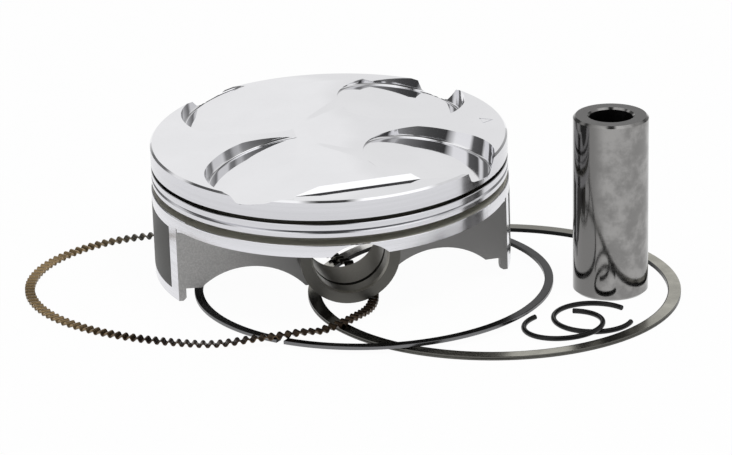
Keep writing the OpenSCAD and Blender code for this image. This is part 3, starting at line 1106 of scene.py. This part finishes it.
@dataclass(frozen=True)
class StripPath:
    """The free expander's path over the rings that it lies on, in millimetres.

    A lobe is a count round the path, its size and the direction of its first crest in degrees.
    The crimps follow a cosine that is squashed to flatter crests and steeper flanks.
    """

    rings: RingLayout = RingLayout()
    at: Vector = Vector((-28.0, -13.7))
    radius: float = 34.7
    lobes: tuple[tuple[int, float, float], ...] = ((2, 3.2, -28.6), (3, 0.7, -35.5))
    waves: int = 124
    height: float = 1.0
    width: float = 2.1
    strip: float = 0.25
    run: float = 9.0
    shoulder: float = 0.7
    swing: float = 1.9
    squash: float = 0.3
    fold_share: float = 1.14 / 1.45

    def angle(self, wave: float) -> float:
        """Find the direction that a count of crimps comes to, so that they are even along the path.

        Args:
            wave: The count of crimps.

        Returns:
            The direction in radians.
        """
        even = math.tau * wave / self.waves
        shifts = (
            size / count / self.radius * math.sin(count * (even - math.radians(turn)))
            for count, size, turn in self.lobes
        )
        return even - sum(shifts)

    def flat(self, a: float, out: float) -> Vector:
        """Find a point of the path, seen from above.

        Args:
            a: Its direction in radians.
            out: How far it lies outside the strip's middle.

        Returns:
            The point.
        """
        lobes = (size * math.cos(count * (a - math.radians(turn))) for count, size, turn in self.lobes)
        return self.at + (self.radius + out + sum(lobes)) * Vector((math.cos(a), math.sin(a)))

    def rise_over(self, p: Vector, ring: Vector, r: float, width: float, height: float) -> float:
        """Find how far the strip is lifted over one ring.

        Args:
            p: The point of the path.
            ring: The ring's centre.
            r: The ring's outer radius.
            width: The ring's width.
            height: The height that clears the ring.

        Returns:
            The lift, which eases in and out beside the ring.
        """
        beside = abs((p - ring).length - r + width / 2) - width / 2 - self.shoulder * self.width
        reach = min(max(1 - beside / self.run, 0.0), 1.0)
        return height * (0.5 - 0.5 * math.cos(math.pi * reach))

    def lift(self, p: Vector) -> float:
        """Find the height of the strip's foot.

        Args:
            p: The point of the path.

        Returns:
            The height over the surface.
        """
        k = self.rings
        over_rails = self.rise_over(p, k.rails_at, k.rail_r, k.rail_width, k.rail_stack)
        over_ring = self.rise_over(p, k.ring_at, k.ring_r, k.ring_width, k.ring_top(p) + k.gap)
        return k.gap + max(over_rails, over_ring)

    def point(self, wave: float, out: float) -> Vector:
        """Find a point of the strip's middle surface.

        Args:
            wave: Its count of crimps along the path.
            out: How far it lies outside the strip's middle.

        Returns:
            The point, with its height over the surface.
        """
        a = self.angle(wave)
        middle, edge = self.flat(a, 0.0), self.flat(a, out)
        swing = self.swing * math.cos(math.tau * wave)
        crimp = 0.5 + 0.5 * self.fold_share * swing / math.sqrt(1 + self.squash * swing * swing)
        crimp = min(max(crimp, 0.0), 1.0)
        return Vector((*edge, self.lift(middle) + self.strip / 2 + (self.height - self.strip) * crimp))


@dataclass
class RingPack:
    """The compression ring, the two oil rails and the crimped expander."""

    path: StripPath = StripPath()
    surface_z: float = -11.9518
    steps: int = 12
    body: str = "expander"

    def strip(self, material: Material) -> None:
        """Make the expander as a thin crimped strip with rounded folds.

        Args:
            material: The strip's material.
        """
        deselect_all()
        columns = self.path.waves * self.steps
        bpy.ops.mesh.primitive_grid_add(x_subdivisions=columns, y_subdivisions=2, size=2)
        strip = bpy.context.view_layer.objects.active
        strip.name = strip.data.name = "crimped_strip"
        for vertex in strip.data.vertices:
            wave = (vertex.co.x + 1) / 2 * self.path.waves
            at = self.path.point(wave, vertex.co.y * self.path.width / 2)
            vertex.co = Vector((at.x, at.y, at.z + self.surface_z)) * MM
        activate(strip)
        edit_all(bpy.ops.mesh.remove_doubles, threshold=1e-6)
        apply_modifier(strip, "SOLIDIFY", thickness=self.path.strip * MM, offset=0, use_even_offset=True)
        shade_smooth(strip, 40)
        strip.data.materials.append(material)
        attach(strip, self.body)
        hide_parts("oil_expander")

    def build(self, frame: dict) -> None:
        """Dress the rings and make the expander.

        Args:
            frame: The loaded frame.
        """
        rings = self.path.rings
        # The third colour of each finish is a painted reflection on the ring's far left stretch.
        ring = RingFinish(
            "ring_steel",
            tuple(rings.ring_at),
            rings.ring_r,
            rings.ring_r - rings.ring_width,
            skin=(0.035, 0.035, 0.036),
            face=(0.17, 0.17, 0.175),
            painted_far_reflection=(0.7, 0.7, 0.68),
        )
        rail = RingFinish(
            "rail_steel",
            tuple(rings.rails_at),
            rings.rail_r,
            rings.rail_r - rings.rail_width,
            skin=(0.42, 0.41, 0.36),
            face=(0.10, 0.098, 0.09),
            painted_far_reflection=(0.9, 0.89, 0.86),
        )
        for finish, names in ((ring, ("compression_ring",)), (rail, ("oil_rail_upper", "oil_rail_lower"))):
            material = finish.material()
            for name in names:
                dress_node(frame["nodes"][name], material)
        self.strip(StripFinish().material())


# ---- Wrist pin and circlips --------------------------------------------------------------------


@dataclass
class WristPin:
    """The hollow ground wrist pin, standing on its end."""

    at: tuple[float, float] = (59.3, -16.1)
    bore_r: float = 4.6
    body: str = "pin"

    def build(self, frame: dict) -> None:
        """Make the pin from its node, smoothly shaded, and dress its outside, ends and bore.

        Args:
            frame: The loaded frame.
        """
        pin = copy_node(frame["nodes"]["wrist_pin"], "wrist_pin_ground")
        shade_smooth(pin, 26)
        centre = Vector((*self.at, 0)) * MM

        def zone(face: Face) -> int:
            """Tell the outside from the end faces and the bore."""
            across = Vector(face.center) - centre
            if math.hypot(across.x, across.y) < (self.bore_r + 0.1) * MM:
                return 2
            return 1 if abs(face.normal.z) > 0.9 else 0

        finishes = [
            GroundSteelFinish(self.at).material(),
            PlainMetalFinish("pin_end", (0.11, 0.107, 0.105), 0.35).material(),
            PlainMetalFinish("pin_bore", (0.03, 0.03, 0.03), 0.5).material(),
        ]
        dress(pin, finishes, zone)
        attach(pin, self.body)
        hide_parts("wrist_pin")


@dataclass
class Circlips:
    """The two round-wire circlips."""

    names: tuple[str, ...] = ("circlip_rear", "circlip_front")

    def build(self, frame: dict) -> None:
        """Dress the circlips.

        Args:
            frame: The loaded frame.
        """
        wire = PlainMetalFinish("clip_wire", (0.035, 0.035, 0.035), 0.38).material()
        for name in self.names:
            dress_node(frame["nodes"][name], wire)


# ---- Studio ------------------------------------------------------------------------------------


@dataclass
class Studio:
    """The pale surface, the soft light tent and the camera."""

    surface_z: float = -11.95
    surface_size: float = 6
    surface_grey: float = 0.88
    surface_glow: float = 0.97
    target: tuple[float, float, float] = (7.40, 0.43, -3.34)
    distance: float = 972.4
    elevation: float = 20.09
    roll: float = -0.95
    sensor: float = 36
    focal: float = 4500 / 732 * 36
    lamp_at: tuple[float, float, float] = (0.32, -0.30, 0.84)
    lamp_size: float = 0.36
    lamp_watts: float = 3.2
    overhead_from: tuple[float, float] = (0.70, 0.80)
    # Level of the tent's side walls, by degrees to the right of the camera's own side
    walls: tuple[tuple[float, float], ...] = (
        (-180, 0.865), (-178.4, 0.865), (-178.1, 0.93), (-160, 0.92), (-146, 0.16), (-130, 0.16),
        (-123, 0.85), (-116, 0.85), (-109, 0.08), (-84, 0.12), (-76, 1.0), (-46, 1.0), (-36, 0.5),
        (-28, 0.05), (5, 0.08), (40, 0.2), (55, 0.3), (62, 0.55), (70, 0.5), (78, 0.2), (87, 0.25),
        (95, 0.75), (122, 0.75), (130, 0.18), (140, 0.3), (154, 0.5), (166, 0.85), (180, 0.865),
    )  # fmt: skip
    roof: tuple[tuple[float, float], ...] = (
        (-180, 0.06), (-150, 0.06), (-125, 0.4), (-85, 1.1), (-34, 1.1), (-22, 0.3), (-14, 0.06),
        (14, 0.06), (26, 0.9), (32, 1.25), (85, 1.25), (104, 0.6), (125, 0.2), (150, 0.06), (180, 0.06),
    )  # fmt: skip

    def build(self) -> None:
        self.floor()
        self.tent()
        self.lamps()
        self.camera()

    def floor(self) -> None:
        """Lay the pale surface."""
        deselect_all()
        bpy.ops.mesh.primitive_plane_add(size=self.surface_size, location=(0, 0, self.surface_z * MM))
        surface = bpy.context.view_layer.objects.active
        surface.name = "surface"
        s = Shader("white_card")
        s.finish((self.surface_grey, self.surface_grey, self.surface_grey), 0.6, 0.0)
        path = s.node("LightPath")
        seen = s.math("MAXIMUM", path.outputs["Is Camera Ray"], path.outputs["Is Glossy Ray"])
        share = s.math("MULTIPLY", seen, self.surface_glow)
        s.feed(s.output, "Surface", s.blend(share, s.surface.outputs[0], s.light("Emission", 1.0)))
        surface.data.materials.append(s.material)

    def tent(self) -> None:
        """Light the scene from a white tent with dark stands and an open, dark front."""
        world = bpy.data.worlds.new("light_tent")
        bpy.context.scene.world = world
        world.use_nodes = True
        world.node_tree.nodes.clear()
        w = Nodes(world.node_tree)
        x, y, z = w.split(w.node("TexCoord").outputs["Generated"])
        turn = w.math("MULTIPLY_ADD", w.math("ARCTAN2", x, w.math("MULTIPLY", y, -1.0)), 0.5 / math.pi, 0.5)
        above = w.smooth(z, *self.overhead_from)
        side = w.math("MULTIPLY", w.ramp(turn, self.walls), w.math("SUBTRACT", 1.0, above))
        tent = w.light("Background", w.math("MULTIPLY_ADD", above, w.ramp(turn, self.roof), side))
        seen = w.node("LightPath").outputs["Is Camera Ray"]
        w.feed(w.node("OutputWorld"), 0, w.blend(seen, tent, w.light("Background", 1.0)))

    def lamps(self) -> None:
        lamp = bpy.data.lights.new("softbox", "AREA")
        lamp.size = self.lamp_size
        lamp.energy = self.lamp_watts
        lit = bpy.data.objects.new("softbox", lamp)
        lit.location = self.lamp_at
        lit.visible_glossy = False
        lit.rotation_euler = Vector(self.lamp_at).to_track_quat("Z", "Y").to_euler()
        bpy.context.scene.collection.objects.link(lit)

    def camera(self) -> None:
        rise = math.radians(self.elevation)
        away = Vector((0, -math.cos(rise), math.sin(rise)))
        target = Vector(self.target) * MM
        right = Vector((1, 0, 0))
        up = right.cross(-away)
        tilt = math.radians(self.roll)
        c, s = math.cos(tilt), math.sin(tilt)
        right, up = right * c + up * s, up * c - right * s
        data = bpy.data.cameras.new("camera")
        data.sensor_width = self.sensor
        data.lens = self.focal
        data.clip_start, data.clip_end = 0.05, 50
        view = bpy.data.objects.new("camera", data)
        axes = Matrix((right, up, away)).transposed()
        view.matrix_world = Matrix.Translation(target + away * self.distance * MM) @ axes.to_4x4()
        bpy.context.scene.collection.objects.link(view)
        bpy.context.scene.camera = view


def main() -> None:
    logging.basicConfig(level=logging.INFO, format="%(name)s: %(message)s")
    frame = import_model()
    bpy.context.scene.view_settings.view_transform = "Standard"
    studio = Studio()
    studio.build()
    for part in (Piston(), RingPack(), WristPin(), Circlips()):
        part.build(frame)
        LOG.info("built %s", type(part).__name__)


if __name__ == "__main__":
    main()
